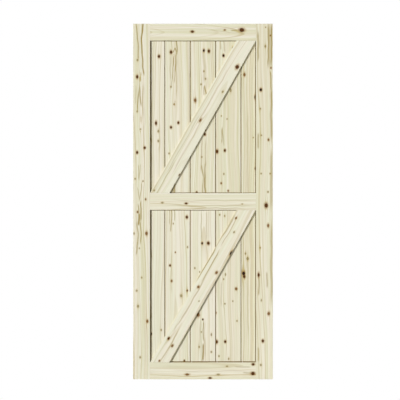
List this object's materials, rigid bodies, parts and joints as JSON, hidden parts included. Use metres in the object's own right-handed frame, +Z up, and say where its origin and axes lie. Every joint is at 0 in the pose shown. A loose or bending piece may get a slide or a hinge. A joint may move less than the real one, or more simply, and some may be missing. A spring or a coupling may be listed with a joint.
{
  "type": "barn door",
  "caption": "Sliding barn door slab: a knotty pine frame with a middle rail around two panels of V-jointed planks, each panel with a diagonal brace.",
  "frame": {"origin": "middle of the slab's bottom edge, half-way through its thickness", "axes": "+Z up the door, +X to the right as its front is looked at, -Y out of its front"},
  "size_m": [0.8382, 0.035, 2.1336],
  "materials": {
    "frame_pine": "matte",
    "plank_pine": "matte",
    "brace_pine": "matte",
    "dowel_beech": "matte",
    "brad_steel": "satin"
  },
  "bodies": {
    "root": {"left_stile": "frame_pine", "right_stile": "frame_pine", "top_rail": "frame_pine", "middle_rail": "frame_pine", "bottom_rail": "frame_pine", "upper_plank_1": "plank_pine", "upper_plank_2": "plank_pine", "upper_plank_3": "plank_pine", "upper_plank_4": "plank_pine", "upper_plank_5": "plank_pine", "lower_plank_1": "plank_pine", "lower_plank_2": "plank_pine", "lower_plank_3": "plank_pine", "lower_plank_4": "plank_pine", "lower_plank_5": "plank_pine", "upper_brace": "brace_pine", "lower_brace": "brace_pine", "top_rail_dowels": "dowel_beech", "middle_rail_dowels": "dowel_beech", "bottom_rail_dowels": "dowel_beech", "upper_brace_brads": "brad_steel", "lower_brace_brads": "brad_steel"}
  },
  "joints": []
}
